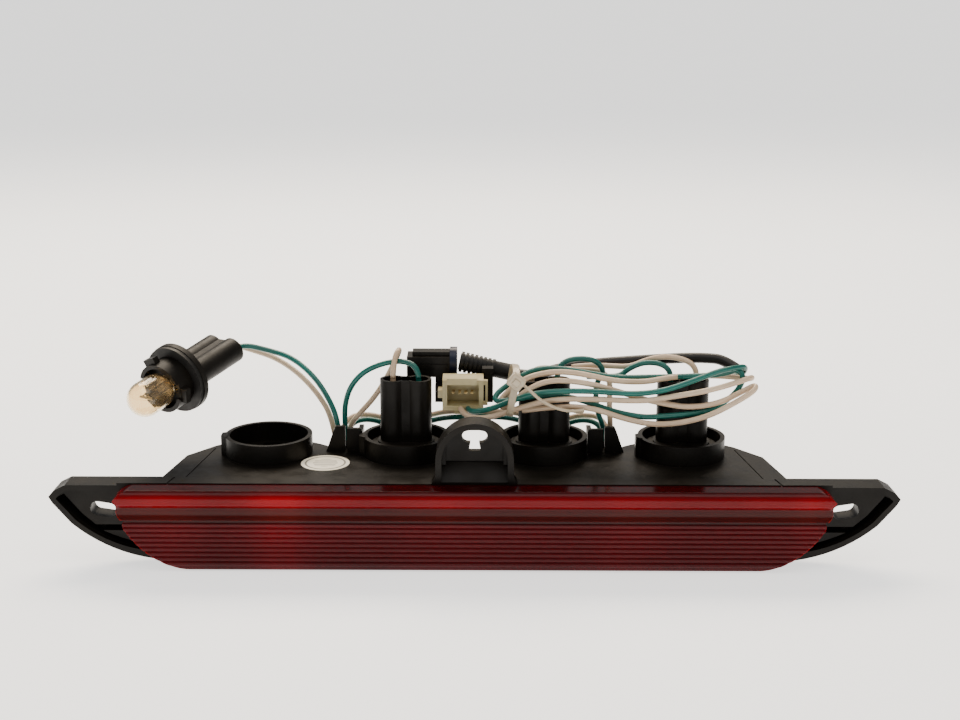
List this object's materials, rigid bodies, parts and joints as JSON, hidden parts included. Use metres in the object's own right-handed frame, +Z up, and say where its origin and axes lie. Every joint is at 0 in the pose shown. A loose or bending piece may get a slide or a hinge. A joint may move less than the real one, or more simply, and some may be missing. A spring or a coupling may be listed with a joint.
{
  "type": "third brake light",
  "caption": "Centre high-mount brake light: black housing with red lens, slotted ears, twist-lock bulb sockets and a tied wiring harness with a plug.",
  "frame": {"origin": "middle of the base's bounding box, on the surface that the lamp stands on", "axes": "+Z up, the side that the sockets point to; -Y the lens side; +X right, seen from the lens side"},
  "size_m": [0.3484, 0.0903, 0.0849],
  "materials": {
    "black_plastic": "satin",
    "blue_black_plastic": "satin",
    "bright_metal": "metallised",
    "red_lens": "gloss",
    "clear_sealant": "gloss",
    "paper": "matt",
    "cream_nylon": "satin",
    "clear_nylon": "satin",
    "brass": "satin",
    "black_rubber": "matt",
    "black_sleeve": "satin",
    "green_wire": "satin",
    "white_wire": "satin",
    "clear_glass": "clear",
    "filament": "drawn"
  },
  "bodies": {
    "lamp": {"housing": "black_plastic", "reflector": "bright_metal", "lens": "red_lens", "lens_seal": "clear_sealant", "sticker": "paper", "connector": "cream_nylon", "connector_latch": "cream_nylon", "connector_terminals": "brass", "connector_holder": "black_plastic", "plug_body": "black_plastic", "plug_ring": "blue_black_plastic", "strain_relief": "black_rubber", "cable_sleeve": "black_sleeve", "cable_tie": "clear_nylon", "hank": "green_wire", "splice_left": "black_rubber", "splice_right": "black_rubber", "wire_1_green": "green_wire", "wire_1_white": "white_wire", "wire_2_green": "green_wire", "wire_2_white": "white_wire", "trunk_green": "green_wire", "trunk_white": "white_wire", "drop_green": "green_wire", "drop_white": "white_wire", "lead_green": "green_wire", "lead_white": "white_wire", "socket_1": "black_plastic", "gasket_1": "black_rubber", "contacts_1": "brass", "wire_seals_1": "black_rubber", "wire_end_white_1": "white_wire", "wire_end_green_1": "green_wire"},
    "socket_body_2": {"socket_2": "black_plastic", "gasket_2": "black_rubber", "bulb_2": "clear_glass", "filament_2": "filament", "contacts_2": "brass", "wire_seals_2": "black_rubber", "wire_end_white_2": "white_wire", "wire_end_green_2": "green_wire"},
    "socket_body_3": {"socket_3": "black_plastic", "gasket_3": "black_rubber", "bulb_3": "clear_glass", "filament_3": "filament", "contacts_3": "brass", "wire_seals_3": "black_rubber", "wire_end_white_3": "white_wire", "wire_end_green_3": "green_wire"},
    "socket_body_4": {"socket_4": "black_plastic", "gasket_4": "black_rubber", "bulb_4": "clear_glass", "filament_4": "filament", "contacts_4": "brass", "wire_seals_4": "black_rubber", "wire_end_white_4": "white_wire", "wire_end_green_4": "green_wire"},
    "bulb_body_1": {"bulb_1": "clear_glass", "filament_1": "filament"}
  },
  "joints": [
    {"name": "socket_2_twist", "type": "hinge", "parent": "lamp", "child": "socket_body_2", "pos_m": [-0.0298, 0.0113, 0.036], "axis": [0, 0, -1], "range_deg": [0, 40]},
    {"name": "socket_3_twist", "type": "hinge", "parent": "lamp", "child": "socket_body_3", "pos_m": [0.0298, 0.0113, 0.036], "axis": [0, 0, -1], "range_deg": [0, 40]},
    {"name": "socket_4_twist", "type": "hinge", "parent": "lamp", "child": "socket_body_4", "pos_m": [0.0894, 0.0113, 0.036], "axis": [0, 0, -1], "range_deg": [0, 40]},
    {"name": "bulb_1_pull", "type": "slide", "parent": "lamp", "child": "bulb_body_1", "axis": [-0.5163, -0.8263, -0.225], "range_m": [0, 0.022]}
  ]
}
